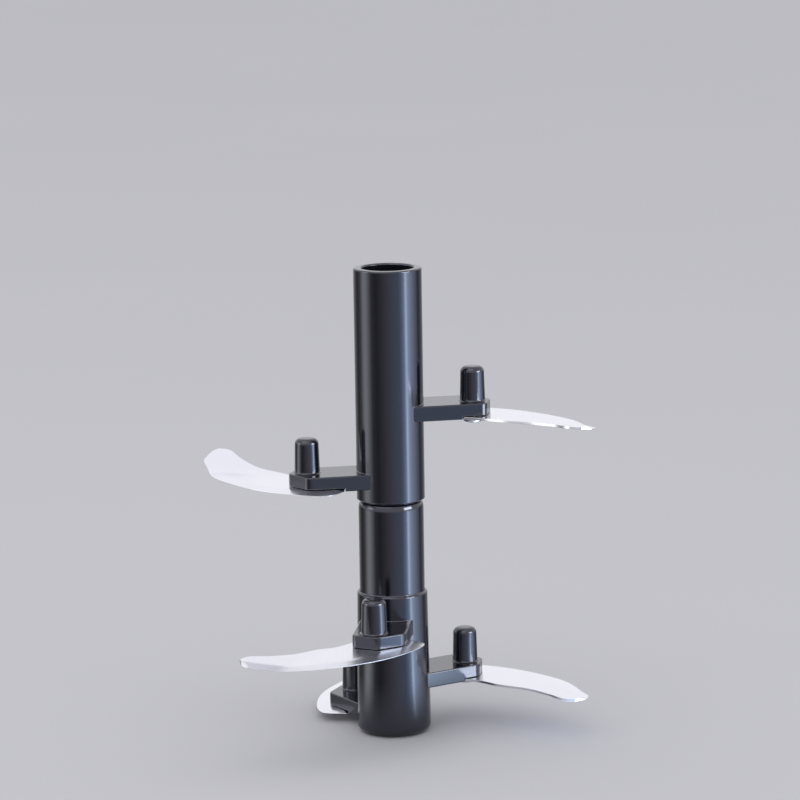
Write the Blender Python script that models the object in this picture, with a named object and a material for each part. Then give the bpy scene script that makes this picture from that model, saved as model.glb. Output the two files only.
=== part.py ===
"""Blade rotor of a hand cranked food chopper: two stacked blade carriers on one upright axis.

The lower carrier stands on its foot and holds three curved blades. The upper carrier holds two more and
lifts off the lower one's hexagonal spigot. Each blade lies in a pocket under its arm, held by a locating pin
and by a screw that bites in the round boss on top of the arm. Sizes are in metres, +Z is up, and the origin
is where the rotor's axis meets the plane of its foot. Seen from above the rotor turns counter-clockwise.
"""

import math
from typing import NamedTuple

import bmesh
import bpy
from mathutils import Matrix, Vector

MM = 0.001


def millimetres(points):
    """Points in metres from points written in millimetres."""
    return [(x * MM, y * MM) for x, y in points]


# Heights above the foot
TOTAL_HEIGHT = 118.2 * MM
STAGE_HEIGHT = 59.0 * MM
SHOULDER_HEIGHT = 36.0 * MM

# Outer radii and edges of the two carriers
UPPER_RADIUS = 8.6 * MM
NECK_RADIUS = 8.25 * MM
BODY_TOP_RADIUS = 8.9 * MM
BODY_FOOT_RADIUS = 9.3 * MM
RIM_ROUND = 0.35 * MM
STAGE_CHAMFER = 0.5 * MM
NECK_ROUND = 0.6 * MM
NECK_CROWN = 2.1 * MM
SHOULDER_ROUND = 0.6 * MM
SHOULDER_SLOPE = 0.9 * MM
FOOT_ROUND = 1.4 * MM
ROUND_TURN = 80.0

# Clearances: between the stages, beside a sliding fit, at a seated face and round a shank
STAGE_GAP = 0.3 * MM
FIT_GAP = 0.25 * MM
SEAT_GAP = 0.2 * MM
SHANK_GAP = 0.25 * MM

# Bore at the top for the drive shaft, with the hexagonal socket that sits on its shoulder
TOP_BORE_RADIUS = 6.55 * MM
TOP_BORE_DEPTH = 19.5 * MM
SOCKET_LENGTH = 14.0 * MM
SOCKET_FLATS = 8.0 * MM
HOLLOW_RADIUS = 5.2 * MM
HOLLOW_FLOOR_WALL = 2.4 * MM
MOUTH_CHAMFER = 0.3 * MM

# Hexagonal spigot that carries the upper stage, its round collar and the friction ring round that
SPIGOT_LENGTH = 16.0 * MM
SPIGOT_FLATS = 9.4 * MM
SPIGOT_CHAMFER = 0.8 * MM
SPIGOT_TIP_ANGLE = 75.0
SPIGOT_ROOT = 0.8 * MM
COLLAR_RADIUS = 5.6 * MM
COLLAR_LENGTH = 4.6 * MM
RING_SECTION = 1.5 * MM
RING_GROOVE_DEPTH = 0.65 * MM

# Bore at the foot for the pin that the rotor turns on, with its bush
FOOT_BORE_RADIUS = 5.5 * MM
BUSH_LENGTH = 12.0 * MM
BUSH_BORE_RADIUS = 3.2 * MM
BUSH_RECESS = 0.8 * MM
PIN_HOLLOW_RADIUS = 4.2 * MM
PIN_HOLLOW_TOP = 34.0 * MM

# Arms: a flat tongue over the blade's seat, its root sunk in the tube, its nose turned with the blade
ARM_HEIGHT = 3.0 * MM
POCKET_DEPTH = 0.9 * MM
ARM_LEAD = 5.9 * MM
ARM_TRAIL = 7.4 * MM
ARM_ROOT_START = 2.5 * MM
NOSE = millimetres([(1.9, -5.6), (5.0, 0.5), (1.0, 7.6)])
NOSE_CORNER = 1.3 * MM
ARM_EDGE = 0.25 * MM

# Round boss on each arm, which the blade's screw bites in
BOSS_REACH = 20.8 * MM
BOSS_BEHIND = 2.5 * MM
BOSS_RADIUS = 3.2 * MM
BOSS_TOP_RADIUS = 3.0 * MM
BOSS_HEIGHT = 8.75 * MM
BOSS_DOME = 1.4 * MM
BOSS_ROOT = 0.9 * MM

# Blade: cut from sheet, with its origin at the screw hole, x outwards and y ahead in the turning sense
BLADE_THICKNESS = 0.6 * MM
EDGE_LAND = 0.1 * MM
GRIND_WIDTH = 3.2 * MM
GRIND_SHARE = 0.45
CUTTING_EDGE = millimetres([(-7.8, 8.6), (-2.4, 12.4), (6.4, 7.5), (14.6, -1.4)])
CUTTING_EDGE += millimetres([(20.9, -14.7), (21.9, -26.4), (22.2, -30.3), (20.4, -32.5)])
TANG_BACK = millimetres([(-10.8, -1.6), (-4.0, -4.2)])
NOTCH = millimetres([(-4.0, -4.2), (-3.9, -5.2)])
BLADE_BACK = millimetres([(-3.9, -5.2), (0.6, -9.2), (4.0, -14.0), (9.5, -19.9)])
BLADE_BACK += millimetres([(12.9, -25.8), (14.9, -30.7), (17.6, -33.0)])
EDGE_STEPS = 30
TANG_STEPS = 5
NOTCH_STEPS = 1
ACROSS_STEPS = 4
FOLD_DIRECTION = math.radians(-122.9)
FOLD_START = 6.6 * MM
FOLD_RADIUS = 12.0 * MM

# Screws and locating pins
SCREW_RADIUS = 1.3 * MM
SCREW_GRIP = 6.0 * MM
HEAD_RADIUS = 2.65 * MM
HEAD_HEIGHT = 1.6 * MM
HEAD_CROWN_RADIUS = 1.2 * MM
HEAD_SHOULDER_RADIUS = 2.1 * MM
HEAD_SHOULDER_DROP = 0.3 * MM
HEAD_SIDE = 0.85 * MM
HEAD_GAP = 0.1 * MM
SCREW_TIP_RADIUS = 0.45 * MM
CROSS_WIDTH = 0.7 * MM
CROSS_SPAN = 2.8 * MM
CROSS_DEPTH = 0.7 * MM
LOCATOR_PLACE = (-6.9 * MM, 0.8 * MM)
LOCATOR_RADIUS = 0.9 * MM
LOCATOR_DEPTH = 2.0 * MM
LOCATOR_GAP = 0.15 * MM
LOCATOR_CHAMFER = 0.22 * MM

ROUND_SEGMENTS = 48
SMALL_SEGMENTS = 24
ARC_STEPS = 4
NECK_STEPS = 6
CORNER_STEPS = 3
RING_STEPS = 10
SHARP_ANGLE = 35.0
BLADE_SHARP_ANGLE = 20.0
MITRE_LIMIT = 0.5
TINY = 1e-9
OVERCUT = 1.0 * MM


class Arm(NamedTuple):
    """One arm with its blade. The seat's height is over the foot of the stage, and angles are in degrees."""

    name: str
    stage: str
    azimuth: float
    seat: float
    blade_yaw: float
    blade_bend: float


UPPER_AZIMUTH = 13.4
UPPER_FOOT = STAGE_HEIGHT + STAGE_GAP
STAGE_FEET = {"upper": UPPER_FOOT, "lower": 0.0}
ARMS = [
    Arm("upper_right", "upper", UPPER_AZIMUTH, 21.55 * MM, 2.4, 5.4),
    Arm("upper_left", "upper", UPPER_AZIMUTH + 180.0, 4.65 * MM, -3.4, 27.7),
    Arm("lower_front", "lower", 264.3, 26.80 * MM, 6.7, 9.9),
    Arm("lower_right", "lower", 36.0, 11.75 * MM, -18.1, -3.6),
    Arm("lower_rear", "lower", 125.8, 2.60 * MM, 1.0, 9.2),
]


def clear_scene():
    """Removes what the scene starts with."""
    for thing in list(bpy.data.objects):
        bpy.data.objects.remove(thing)


def finish_material(name, colour, roughness, metallic):
    """A plain Principled material."""
    material = bpy.data.materials.new(name)
    material.use_nodes = True
    shader = material.node_tree.nodes["Principled BSDF"]
    shader.inputs["Base Color"].default_value = (*colour, 1.0)
    shader.inputs["Roughness"].default_value = roughness
    shader.inputs["Metallic"].default_value = metallic
    return material


def add_object(name, mesh, material=None, helper=False):
    """Links an object for the mesh. A helper only cuts or joins, and is left out of the model."""
    thing = bpy.data.objects.new(name, mesh)
    bpy.context.scene.collection.objects.link(thing)
    if material:
        mesh.materials.append(material)
    if helper:
        thing.hide_render = True
        thing.display_type = "WIRE"
    return thing


def mesh_of(name, shape, sharp_angle=SHARP_ANGLE):
    """Turns a bmesh into a mesh with its faces out, smooth except at sharp edges."""
    bmesh.ops.recalc_face_normals(shape, faces=shape.faces)
    mesh = bpy.data.meshes.new(name)
    shape.to_mesh(mesh)
    shape.free()
    mesh.shade_smooth()
    mesh.set_sharp_from_angle(angle=math.radians(sharp_angle))
    return mesh


def arc(centre, radius, start, end, steps=ARC_STEPS, stretch=1.0):
    """Points on an arc between two angles in degrees, made taller or flatter by the stretch."""
    angles = [math.radians(start + (end - start) * k / steps) for k in range(steps + 1)]
    rise = radius * stretch
    return [(centre[0] + radius * math.cos(a), centre[1] + rise * math.sin(a)) for a in angles]


def rounded(outline, corners, reach, steps=CORNER_STEPS):
    """The outline with some corners replaced by curves that start the same reach either side of them."""
    path = []
    for k, point in enumerate(outline):
        if k not in corners:
            path.append(point)
            continue
        corner = Vector(point)
        before = (Vector(outline[k - 1]) - corner).normalized() * reach
        after = (Vector(outline[(k + 1) % len(outline)]) - corner).normalized() * reach
        for step in range(steps + 1):
            t = step / steps
            path.append(tuple(corner + before * (1 - t) ** 2 + after * t**2))
    return path


def turned(name, profile, segments=ROUND_SEGMENTS, closed=False):
    """Turns a profile of (radius, height) points about the Z axis. A closed profile makes a ring."""
    shape = bmesh.new()
    rings = []
    for radius, height in profile:
        if radius < TINY:
            rings.append([shape.verts.new((0.0, 0.0, height))])
            continue
        turns = [2 * math.pi * k / segments for k in range(segments)]
        circle = [(radius * math.cos(t), radius * math.sin(t), height) for t in turns]
        rings.append([shape.verts.new(point) for point in circle])
    pairs = list(zip(rings, rings[1:]))
    if closed:
        pairs.append((rings[-1], rings[0]))
    for low, high in pairs:
        for k in range(segments):
            corners = [low[k % len(low)], low[(k + 1) % len(low)]]
            corners += [high[(k + 1) % len(high)], high[k % len(high)]]
            shape.faces.new(list(dict.fromkeys(corners)))
    return mesh_of(name, shape)


def prism(name, outline, low, high):
    """An outline in the XY plane, drawn up from one height to another."""
    shape = bmesh.new()
    floor = shape.faces.new([shape.verts.new((x, y, low)) for x, y in outline])
    drawn = bmesh.ops.extrude_face_region(shape, geom=[floor])
    risen = [v for v in drawn["geom"] if isinstance(v, bmesh.types.BMVert)]
    bmesh.ops.translate(shape, verts=risen, vec=(0.0, 0.0, high - low))
    return mesh_of(name, shape)


def hexagon(flats):
    """The corners of a hexagon that measures flats across its flats, with two flats square to Y."""
    radius = flats / math.sqrt(3)
    return [(radius * math.cos(math.pi * k / 3), radius * math.sin(math.pi * k / 3)) for k in range(6)]


def change(thing, operation, helpers):
    """Adds a Boolean that joins the helpers to the thing, or cuts them from it."""
    group = bpy.data.collections.new(f"{thing.name} {operation.lower()} {len(thing.modifiers)}")
    for helper in helpers:
        group.objects.link(helper)
    boolean = thing.modifiers.new(operation.title(), "BOOLEAN")
    boolean.operation = operation
    boolean.operand_type = "COLLECTION"
    boolean.collection = group
    boolean.solver = "EXACT"


def arm_frame(arm):
    """World matrix of an arm: x outwards, y ahead in the turning sense, z up from the blade's seat."""
    height = STAGE_FEET[arm.stage] + arm.seat
    return Matrix.Translation((0.0, 0.0, height)) @ Matrix.Rotation(math.radians(arm.azimuth), 4, "Z")


def blade_frame(arm):
    """World matrix of an arm's blade: origin at the screw hole, on the blade's upper face."""
    screw = Matrix.Translation((BOSS_REACH, -BOSS_BEHIND, -SEAT_GAP))
    return arm_frame(arm) @ screw @ Matrix.Rotation(math.radians(arm.blade_yaw), 4, "Z")


def arm_mesh(arm):
    """The arm's tongue, from inside the tube to its nose."""
    turn = Matrix.Rotation(math.radians(arm.blade_yaw), 2)
    nose = [tuple(Vector((BOSS_REACH, -BOSS_BEHIND)) + turn @ Vector(point)) for point in NOSE]
    outline = [(ARM_ROOT_START, -ARM_TRAIL), *nose, (ARM_ROOT_START, ARM_LEAD)]
    return prism(f"{arm.name}_arm", rounded(outline, (1, 2, 3), NOSE_CORNER), -POCKET_DEPTH, ARM_HEIGHT)


def boss_profile():
    """Profile of the round boss, from inside the arm to its domed top."""
    top = ARM_HEIGHT + BOSS_HEIGHT
    dome = arc((BOSS_TOP_RADIUS - BOSS_DOME, top - BOSS_DOME), BOSS_DOME, 0, 90)
    sunk = ARM_HEIGHT - BOSS_ROOT
    return [(0.0, sunk), (BOSS_RADIUS, sunk), *dome, (0.0, top)]


def grown(outline, margin):
    """The outline moved outwards by a margin. It runs counter-clockwise."""
    points = [Vector(point) for point in outline]
    path = []
    for k, point in enumerate(points):
        before = (point - points[k - 1]).normalized()
        after = (points[(k + 1) % len(points)] - point).normalized()
        normal = Vector((before.y + after.y, -before.x - after.x)).normalized()
        path.append(point + normal * margin / max(MITRE_LIMIT, normal.dot(Vector((before.y, -before.x)))))
    return path


def arm_helpers(arm):
    """The helpers of one arm: its tongue, its boss, and the cutters for the blade, its screw and its pin."""
    frame, blade = arm_frame(arm), blade_frame(arm)
    tongue = add_object(f"{arm.name}_arm", arm_mesh(arm), helper=True)
    tongue.matrix_world = frame
    edges = tongue.modifiers.new("Edges", "BEVEL")
    edges.width = ARM_EDGE
    edges.segments = 2
    edges.limit_method = "ANGLE"
    boss = add_object(f"{arm.name}_boss", turned("boss", boss_profile(), SMALL_SEGMENTS), helper=True)
    boss.matrix_world = frame @ Matrix.Translation((BOSS_REACH, -BOSS_BEHIND, 0.0))
    pin_place = blade @ Matrix.Translation((*LOCATOR_PLACE, 0.0))
    screw_top = ARM_HEIGHT + SCREW_GRIP + SHANK_GAP
    pin_top = LOCATOR_DEPTH + SEAT_GAP + LOCATOR_GAP
    outline = grown(blade_outline(), FIT_GAP)
    cuts = {
        "pocket": (prism("pocket", outline, -POCKET_DEPTH - OVERCUT, SEAT_GAP), blade),
        "screw_hole": (drilling("screw_hole", SCREW_RADIUS + SHANK_GAP, -OVERCUT, screw_top), blade),
        "pin_hole": (drilling("pin_hole", LOCATOR_RADIUS + LOCATOR_GAP, -OVERCUT, pin_top), pin_place),
    }
    cutters = []
    for name, (mesh, place) in cuts.items():
        cutters.append(add_object(f"{arm.name}_{name}", mesh, helper=True))
        cutters[-1].matrix_world = place
    return [tongue], [boss], cutters


def drilling(name, radius, low, high, segments=SMALL_SEGMENTS):
    """A plain round cutter between two heights."""
    return turned(name, [(0.0, low), (radius, low), (radius, high), (0.0, high)], segments)


def bore_cutter(name, radius, low, high, chamfer, mouth_up, segments=ROUND_SEGMENTS):
    """A round cutter with a chamfered mouth at one end."""
    wide = radius + chamfer
    if mouth_up:
        profile = [(0.0, low), (radius, low), (radius, high - chamfer), (wide, high)]
        profile += [(wide, high + OVERCUT), (0.0, high + OVERCUT)]
    else:
        profile = [(0.0, low - OVERCUT), (wide, low - OVERCUT), (wide, low)]
        profile += [(radius, low + chamfer), (radius, high), (0.0, high)]
    return turned(name, profile, segments)


def build_carrier(name, profile, stage, cutters, material, additions=()):
    """A turned body with its stage's arms and bosses joined on, then all its bores cut."""
    carrier = add_object(name, turned(name, profile), material)
    tongues, bosses, holes = [], [], []
    for arm in ARMS:
        if arm.stage == stage:
            for group, made in zip((tongues, bosses, holes), arm_helpers(arm)):
                group.extend(made)
    change(carrier, "UNION", tongues)
    change(carrier, "UNION", bosses + list(additions))
    change(carrier, "DIFFERENCE", cutters + holes)
    return carrier


def build_upper_carrier(material):
    """The upper tube with its two arms, the drive bore at the top and the spigot's socket below."""
    profile = [(0.0, UPPER_FOOT), (UPPER_RADIUS - STAGE_CHAMFER, UPPER_FOOT)]
    profile += [(UPPER_RADIUS, UPPER_FOOT + STAGE_CHAMFER)]
    profile += arc((UPPER_RADIUS - RIM_ROUND, TOTAL_HEIGHT - RIM_ROUND), RIM_ROUND, 0, 90)
    profile += [(0.0, TOTAL_HEIGHT)]
    bore_floor = TOTAL_HEIGHT - TOP_BORE_DEPTH
    collar_top = STAGE_HEIGHT + COLLAR_LENGTH + FIT_GAP
    socket_top = STAGE_HEIGHT + SPIGOT_LENGTH + STAGE_GAP
    hollow_floor = socket_top + HOLLOW_FLOOR_WALL
    ring_outside = COLLAR_RADIUS - RING_GROOVE_DEPTH + SEAT_GAP / 2 + RING_SECTION
    cutters = [
        bore_cutter("top_bore", TOP_BORE_RADIUS, bore_floor, TOTAL_HEIGHT, MOUTH_CHAMFER, True),
        drilling("hollow", HOLLOW_RADIUS, hollow_floor, bore_floor + OVERCUT, ROUND_SEGMENTS),
        bore_cutter("collar_bore", ring_outside + FIT_GAP, UPPER_FOOT, collar_top, MOUTH_CHAMFER, False),
        prism("spigot_socket", hexagon(SPIGOT_FLATS + 2 * FIT_GAP), UPPER_FOOT - OVERCUT, socket_top),
    ]
    helpers = [add_object(mesh.name, mesh, helper=True) for mesh in cutters]
    return build_carrier("upper_carrier", profile, "upper", helpers, material)


def build_lower_carrier(material):
    """The lower body and neck with three arms, the spigot on top and the pin's bore in the foot."""
    top = STAGE_HEIGHT
    profile = [(0.0, 0.0), (BODY_FOOT_RADIUS - FOOT_ROUND, 0.0)]
    profile += arc((BODY_FOOT_RADIUS - FOOT_ROUND, FOOT_ROUND), FOOT_ROUND, -ROUND_TURN, 0)
    shoulder = (BODY_TOP_RADIUS - SHOULDER_ROUND, SHOULDER_HEIGHT - SHOULDER_ROUND)
    profile += arc(shoulder, SHOULDER_ROUND, 0, ROUND_TURN)
    profile += [(NECK_RADIUS, SHOULDER_HEIGHT + SHOULDER_SLOPE - SHOULDER_ROUND / 2)]
    crown = (NECK_RADIUS - NECK_ROUND, top - NECK_CROWN)
    profile += arc(crown, NECK_ROUND, 0, ROUND_TURN, NECK_STEPS, NECK_CROWN / NECK_ROUND)
    collar_top = top + COLLAR_LENGTH
    groove_radius = COLLAR_RADIUS - RING_GROOVE_DEPTH
    groove_half = RING_SECTION / 2 + SEAT_GAP
    groove_height = top + COLLAR_LENGTH / 2
    profile += [(COLLAR_RADIUS, top), (COLLAR_RADIUS, groove_height - groove_half)]
    profile += [(groove_radius, groove_height - groove_half), (groove_radius, groove_height + groove_half)]
    profile += [(COLLAR_RADIUS, groove_height + groove_half), (COLLAR_RADIUS, collar_top), (0.0, collar_top)]
    spigot_top = top + SPIGOT_LENGTH
    spigot_root = collar_top - SPIGOT_ROOT
    spigot_mesh = prism("spigot", hexagon(SPIGOT_FLATS), spigot_root, spigot_top)
    spigot = add_object("spigot", spigot_mesh, helper=True)
    tip = spigot.modifiers.new("Tip", "BEVEL")
    tip.width = SPIGOT_CHAMFER
    tip.segments = 1
    tip.limit_method = "ANGLE"
    tip.angle_limit = math.radians(SPIGOT_TIP_ANGLE)
    bush_top = BUSH_RECESS + BUSH_LENGTH + SEAT_GAP
    cutters = [
        bore_cutter("foot_bore", FOOT_BORE_RADIUS, 0.0, bush_top, MOUTH_CHAMFER, False),
        drilling("pin_hollow", PIN_HOLLOW_RADIUS, bush_top - OVERCUT, PIN_HOLLOW_TOP, ROUND_SEGMENTS),
    ]
    helpers = [add_object(mesh.name, mesh, helper=True) for mesh in cutters]
    return build_carrier("lower_carrier", profile, "lower", helpers, material, [spigot])


def build_inserts(plastic, acetal, rubber):
    """The drive socket in the top bore, the bush in the foot and the friction ring round the collar."""
    floor = TOTAL_HEIGHT - TOP_BORE_DEPTH + SEAT_GAP
    outer = TOP_BORE_RADIUS - FIT_GAP
    chamfer = MOUTH_CHAMFER
    top = floor + SOCKET_LENGTH
    profile = [(0.0, floor), (outer, floor), (outer, top - chamfer), (outer - chamfer, top), (0.0, top)]
    socket = add_object("drive_socket", turned("drive_socket", profile), plastic)
    hexagon_cutter = prism("socket_hexagon", hexagon(SOCKET_FLATS), floor - OVERCUT, top + OVERCUT)
    change(socket, "DIFFERENCE", [add_object("socket_hexagon", hexagon_cutter, helper=True)])

    foot, head = BUSH_RECESS, BUSH_RECESS + BUSH_LENGTH
    inner, outer = BUSH_BORE_RADIUS, FOOT_BORE_RADIUS - FIT_GAP
    profile = [(inner + chamfer, foot), (outer, foot), (outer, head), (inner, head), (inner, foot + chamfer)]
    add_object("pivot_bush", turned("pivot_bush", profile, closed=True), acetal)

    section = RING_SECTION / 2
    middle = COLLAR_RADIUS - RING_GROOVE_DEPTH + section + SEAT_GAP / 2
    profile = arc((middle, STAGE_HEIGHT + COLLAR_LENGTH / 2), section, 0, 360, RING_STEPS)[:-1]
    add_object("friction_ring", turned("friction_ring", profile, closed=True), rubber)


def smooth_path(points, steps):
    """Points along a Catmull-Rom curve through a few points."""
    knots = [Vector(point) for point in points]
    knots = [2 * knots[0] - knots[1], *knots, 2 * knots[-1] - knots[-2]]
    path = []
    for k in range(steps + 1):
        place = k / steps * (len(points) - 1)
        span = min(int(place), len(points) - 2)
        t = place - span
        a, b, c, d = knots[span : span + 4]
        square = (2 * a - 5 * b + 4 * c - d) * t**2
        cube = (3 * b - a - 3 * c + d) * t**3
        path.append(0.5 * (2 * b + (c - a) * t + square + cube))
    return path


def folded(point, depth, bend):
    """Lays a flat point on the bent blade: past the fold's start the sheet rises on an arc, then runs on."""
    across = Vector((math.cos(FOLD_DIRECTION), math.sin(FOLD_DIRECTION)))
    beyond = point.dot(across) - FOLD_START
    if beyond <= 0 or abs(bend) < TINY:
        return Vector((point.x, point.y, -depth))
    side = math.copysign(1.0, bend)
    turn = min(beyond / FOLD_RADIUS, abs(bend))
    straight = beyond - turn * FOLD_RADIUS
    run = FOLD_RADIUS * math.sin(turn) + straight * math.cos(turn) + side * depth * math.sin(turn)
    rise = side * (FOLD_RADIUS * (1 - math.cos(turn)) + straight * math.sin(turn)) - depth * math.cos(turn)
    flat = point - across * beyond
    moved = flat + across * run
    return Vector((moved.x, moved.y, rise))


def blade_sides():
    """The blade's flat pattern as many points along its cutting edge as along its back."""
    edge = smooth_path(CUTTING_EDGE, EDGE_STEPS)
    back = smooth_path(TANG_BACK, TANG_STEPS)[:-1] + smooth_path(NOTCH, NOTCH_STEPS)[:-1]
    back += smooth_path(BLADE_BACK, EDGE_STEPS - TANG_STEPS - NOTCH_STEPS)
    return edge, back


def blade_outline():
    """The blade's flat pattern as one outline, counter-clockwise."""
    edge, back = blade_sides()
    return back + edge[::-1]


def blade_mesh(arm):
    """The blade as a grid between its cutting edge and its back, ground on its upper side, then bent."""
    edge, back = blade_sides()
    bend = math.radians(arm.blade_bend)
    shape = bmesh.new()
    sheets = []
    for lower in (False, True):
        rows = []
        for outer, inner in zip(edge, back):
            ground = min(GRIND_WIDTH / (inner - outer).length, GRIND_SHARE)
            plain = (1 - ground) / ACROSS_STEPS
            shares = [0.0] + [ground + plain * k for k in range(ACROSS_STEPS + 1)]
            row = []
            for share in shares:
                at_edge = share == 0.0
                depth = BLADE_THICKNESS if lower else (BLADE_THICKNESS - EDGE_LAND) * at_edge
                row.append(shape.verts.new(folded(outer.lerp(inner, share), depth, bend)))
            rows.append(row)
        sheets.append(rows)
    for rows in sheets:
        for first, second in zip(rows, rows[1:]):
            for k in range(len(first) - 1):
                shape.faces.new((first[k], first[k + 1], second[k + 1], second[k]))
    upper, lower = sheets
    rims = [[row[0] for row in upper], [row[-1] for row in upper], upper[0], upper[-1]]
    under = [[row[0] for row in lower], [row[-1] for row in lower], lower[0], lower[-1]]
    for top_rim, low_rim in zip(rims, under):
        for k in range(len(top_rim) - 1):
            shape.faces.new((top_rim[k], top_rim[k + 1], low_rim[k + 1], low_rim[k]))
    return mesh_of(f"blade_{arm.name}", shape, BLADE_SHARP_ANGLE)


def build_blade(arm, steel):
    """One blade in its place, with its screw and pin holes."""
    blade = add_object(f"blade_{arm.name}", blade_mesh(arm), steel)
    blade.matrix_world = blade_frame(arm)
    screw_hole = drilling("blade_screw_hole", SCREW_RADIUS + SHANK_GAP, -BLADE_THICKNESS - OVERCUT, OVERCUT)
    pin_hole = drilling("blade_pin_hole", LOCATOR_RADIUS + LOCATOR_GAP, -BLADE_THICKNESS - OVERCUT, OVERCUT)
    cutters = [add_object(f"{arm.name}_blade_screw_hole", screw_hole, helper=True)]
    cutters[0].matrix_world = blade_frame(arm)
    cutters.append(add_object(f"{arm.name}_blade_pin_hole", pin_hole, helper=True))
    cutters[1].matrix_world = blade_frame(arm) @ Matrix.Translation((*LOCATOR_PLACE, 0.0))
    change(blade, "DIFFERENCE", cutters)


def build_fixings(arm, chrome):
    """The blade's pan head screw, driven up from below, and its locating pin."""
    seat = -BLADE_THICKNESS - HEAD_GAP
    low = seat - HEAD_HEIGHT
    top = SEAT_GAP + ARM_HEIGHT + SCREW_GRIP - SHANK_GAP
    profile = [(0.0, low), (HEAD_CROWN_RADIUS, low), (HEAD_SHOULDER_RADIUS, low + HEAD_SHOULDER_DROP)]
    profile += [(HEAD_RADIUS, seat - HEAD_SIDE), (HEAD_RADIUS, seat), (SCREW_RADIUS, seat)]
    profile += [(SCREW_RADIUS, top - SCREW_RADIUS), (SCREW_TIP_RADIUS, top), (0.0, top)]
    screw = add_object(f"screw_{arm.name}", turned("screw", profile, SMALL_SEGMENTS), chrome)
    screw.matrix_world = blade_frame(arm)
    half, span = CROSS_WIDTH / 2, CROSS_SPAN / 2
    cross = [(span, -half), (span, half), (half, half), (half, span), (-half, span), (-half, half)]
    cross += [(-span, half), (-span, -half), (-half, -half), (-half, -span), (half, -span), (half, -half)]
    recess_mesh = prism("recess", cross, low - OVERCUT, low + CROSS_DEPTH)
    recess = add_object(f"{arm.name}_recess", recess_mesh, helper=True)
    recess.matrix_world = screw.matrix_world
    change(screw, "DIFFERENCE", [recess])

    chamfer = LOCATOR_CHAMFER
    low = -BLADE_THICKNESS
    top = SEAT_GAP + LOCATOR_DEPTH
    profile = [(0.0, low), (LOCATOR_RADIUS - chamfer, low), (LOCATOR_RADIUS, low + chamfer)]
    profile += [(LOCATOR_RADIUS, top - chamfer), (LOCATOR_RADIUS - chamfer, top), (0.0, top)]
    pin = add_object(f"locating_pin_{arm.name}", turned("locating_pin", profile, SMALL_SEGMENTS), chrome)
    pin.matrix_world = blade_frame(arm) @ Matrix.Translation((*LOCATOR_PLACE, 0.0))


def main():
    """Builds the rotor."""
    clear_scene()
    black = finish_material("gloss_black_plastic", (0.012, 0.012, 0.018), 0.16, 0.0)
    grey = finish_material("drive_socket_plastic", (0.05, 0.05, 0.055), 0.45, 0.0)
    acetal = finish_material("bush_acetal", (0.75, 0.75, 0.72), 0.4, 0.0)
    rubber = finish_material("ring_rubber", (0.02, 0.02, 0.02), 0.7, 0.0)
    steel = finish_material("blade_steel", (0.72, 0.73, 0.78), 0.28, 1.0)
    chrome = finish_material("screw_steel", (0.7, 0.7, 0.72), 0.12, 1.0)
    build_upper_carrier(black)
    build_lower_carrier(black)
    build_inserts(grey, acetal, rubber)
    for arm in ARMS:
        build_blade(arm, steel)
        build_fixings(arm, chrome)


main()
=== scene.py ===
"""The dressed blade rotor of a hand cranked food chopper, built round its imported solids.

Both carriers, the blades and the small fittings are made again with finer meshes in the places of their
solids, each with its own finish, then lit in a plain studio from the photograph's angle. Sizes are in
metres, +Z is up, and the origin is where the rotor's axis meets the plane of its foot.
"""

from __future__ import annotations

import logging
import math
from dataclasses import dataclass
from enum import Enum
from typing import Any, Iterable, Sequence

import bmesh
import bpy
from mathutils import Matrix, Vector

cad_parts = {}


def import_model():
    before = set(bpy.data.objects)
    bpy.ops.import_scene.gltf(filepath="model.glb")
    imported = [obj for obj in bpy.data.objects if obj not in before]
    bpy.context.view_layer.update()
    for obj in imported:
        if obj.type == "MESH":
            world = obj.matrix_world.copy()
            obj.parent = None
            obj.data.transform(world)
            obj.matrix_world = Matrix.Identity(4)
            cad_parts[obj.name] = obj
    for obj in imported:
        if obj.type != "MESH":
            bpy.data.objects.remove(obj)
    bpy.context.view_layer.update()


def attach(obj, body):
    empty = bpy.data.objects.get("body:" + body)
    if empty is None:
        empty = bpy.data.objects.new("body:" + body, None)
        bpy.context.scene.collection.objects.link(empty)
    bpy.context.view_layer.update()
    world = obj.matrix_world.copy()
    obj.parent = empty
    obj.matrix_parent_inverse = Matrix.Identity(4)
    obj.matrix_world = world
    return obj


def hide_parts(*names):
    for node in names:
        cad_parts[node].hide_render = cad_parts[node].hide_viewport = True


LOG = logging.getLogger("rotor")
MM = 0.001
TINY = 1e-9

# The angle in degrees from which an edge stays sharp.
SHARP_EDGE = 32.0

Point2 = tuple[float, float]
Point3 = tuple[float, float, float]
Colour = tuple[float, float, float]


class Stage(Enum):
    """The two stages of the rotor, each named as its moving body."""

    LOWER = "lower_stage"
    UPPER = "upper_stage"


class Slot(Enum):
    """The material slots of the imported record."""

    PLASTIC = "black_plastic"
    SOCKET = "socket_plastic"
    BUSH = "bush_plastic"
    RUBBER = "ring_rubber"
    BLADE = "blade_steel"
    FIXING = "fixing_steel"


class Cut(Enum):
    """What a Boolean does with its helper."""

    JOIN = "UNION"
    REMOVE = "DIFFERENCE"


class Mouth(Enum):
    """The end of a bore that has a chamfered mouth."""

    NONE = "none"
    ABOVE = "above"
    BELOW = "below"


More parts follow.
